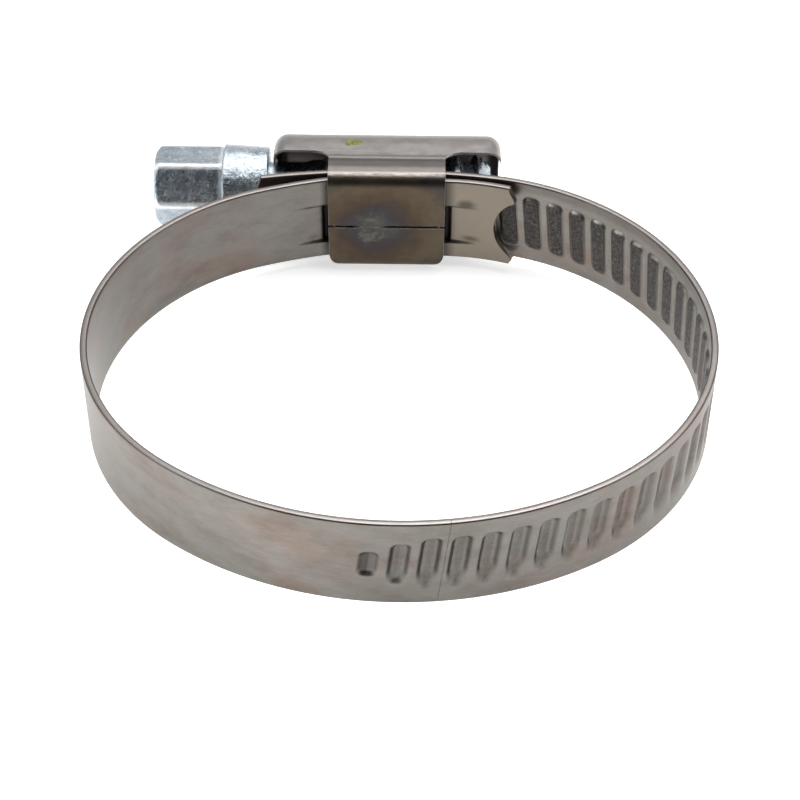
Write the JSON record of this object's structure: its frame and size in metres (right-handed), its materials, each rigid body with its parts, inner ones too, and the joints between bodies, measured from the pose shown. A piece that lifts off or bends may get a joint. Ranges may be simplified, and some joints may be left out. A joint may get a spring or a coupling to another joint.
{
  "type": "hose clamp",
  "caption": "Worm-drive hose clamp: a pressed-thread steel band looped through a bent-sheet housing, tightened by a hexagon-head worm screw.",
  "frame": {"origin": "middle of the clamp's bounding box, on its underside", "axes": "+Z along the axis of the hose, +X along the screw away from its head, +Y from the hose towards the housing"},
  "size_m": [0.0554, 0.056, 0.0109],
  "materials": {
    "stainless_steel": "plain rolled stainless strip, satin, with bright sheared edges and heat tint at the welds",
    "zinc_plated_steel": "bright zinc plating with a faint blue cast"
  },
  "bodies": {
    "housing": {"housing": "stainless_steel", "band_anchor_end": "stainless_steel"},
    "screw": {"worm_screw": "zinc_plated_steel"},
    "worm_track": {"band_worm_track": "stainless_steel"},
    "left_rear": {"band_left_rear": "stainless_steel"},
    "left_side": {"band_left_side": "stainless_steel"},
    "left_front": {"band_left_front": "stainless_steel"},
    "front_plain": {"band_front_plain": "stainless_steel"},
    "right_rear": {"band_right_rear": "stainless_steel"},
    "right_side": {"band_right_side": "stainless_steel"},
    "right_front": {"band_right_front": "stainless_steel"},
    "front_toothed": {"band_front_toothed": "stainless_steel"}
  },
  "joints": [
    {"name": "screw_turn", "type": "hinge", "parent": "housing", "child": "screw", "pos_m": [-0.00148, 0.02282, 0.00545], "axis": [1, 0, 0], "range_deg": [-360, 480]},
    {"name": "band_feed", "type": "hinge", "parent": "housing", "child": "worm_track", "pos_m": [-0.00148, -0.0405, 0.00545], "axis": [0, 0, 1], "range_deg": [-2.32, 3.09]},
    {"name": "left_rear_flex", "type": "hinge", "parent": "housing", "child": "left_rear", "pos_m": [-0.01246, 0.01649, 0.00545], "axis": [0, 0, 1], "range_deg": [-0.377, 0.285]},
    {"name": "left_side_flex", "type": "hinge", "parent": "left_rear", "child": "left_side", "pos_m": [-0.02527, 0.0053, 0.00545], "axis": [0, 0, 1], "range_deg": [-0.61, 0.46]},
    {"name": "left_front_flex", "type": "hinge", "parent": "left_side", "child": "left_front", "pos_m": [-0.02603, -0.01169, 0.00545], "axis": [0, 0, 1], "range_deg": [-0.394, 0.522]},
    {"name": "front_plain_flex", "type": "hinge", "parent": "left_front", "child": "front_plain", "pos_m": [-0.01437, -0.02414, 0.00545], "axis": [0, 0, 1], "range_deg": [-1.77, 2.36]},
    {"name": "right_rear_flex", "type": "hinge", "parent": "worm_track", "child": "right_rear", "pos_m": [0.00934, 0.0185, 0.00545], "axis": [0, 0, 1], "range_deg": [-0.244, 0.322]},
    {"name": "right_side_flex", "type": "hinge", "parent": "right_rear", "child": "right_side", "pos_m": [0.0232, 0.00946, 0.00545], "axis": [0, 0, 1], "range_deg": [-0.45, 0.59]},
    {"name": "right_front_flex", "type": "hinge", "parent": "right_side", "child": "right_front", "pos_m": [0.02723, -0.00659, 0.00545], "axis": [0, 0, 1], "range_deg": [-0.172, 0.132]},
    {"name": "front_toothed_flex", "type": "hinge", "parent": "right_front", "child": "front_toothed", "pos_m": [0.01928, -0.02111, 0.00545], "axis": [0, 0, 1], "range_deg": [-1.81, 1.36]}
  ],
  "couplings": [
    {"joint": "band_feed", "follows": "screw_turn", "ratio": 0.006419},
    {"joint": "left_rear_flex", "follows": "screw_turn", "ratio": -0.000765},
    {"joint": "left_side_flex", "follows": "screw_turn", "ratio": -0.001241},
    {"joint": "left_front_flex", "follows": "screw_turn", "ratio": 0.001066},
    {"joint": "front_plain_flex", "follows": "screw_turn", "ratio": 0.004894},
    {"joint": "right_rear_flex", "follows": "screw_turn", "ratio": 0.000651},
    {"joint": "right_side_flex", "follows": "screw_turn", "ratio": 0.001217},
    {"joint": "right_front_flex", "follows": "screw_turn", "ratio": -0.000338},
    {"joint": "front_toothed_flex", "follows": "screw_turn", "ratio": -0.003755}
  ]
}
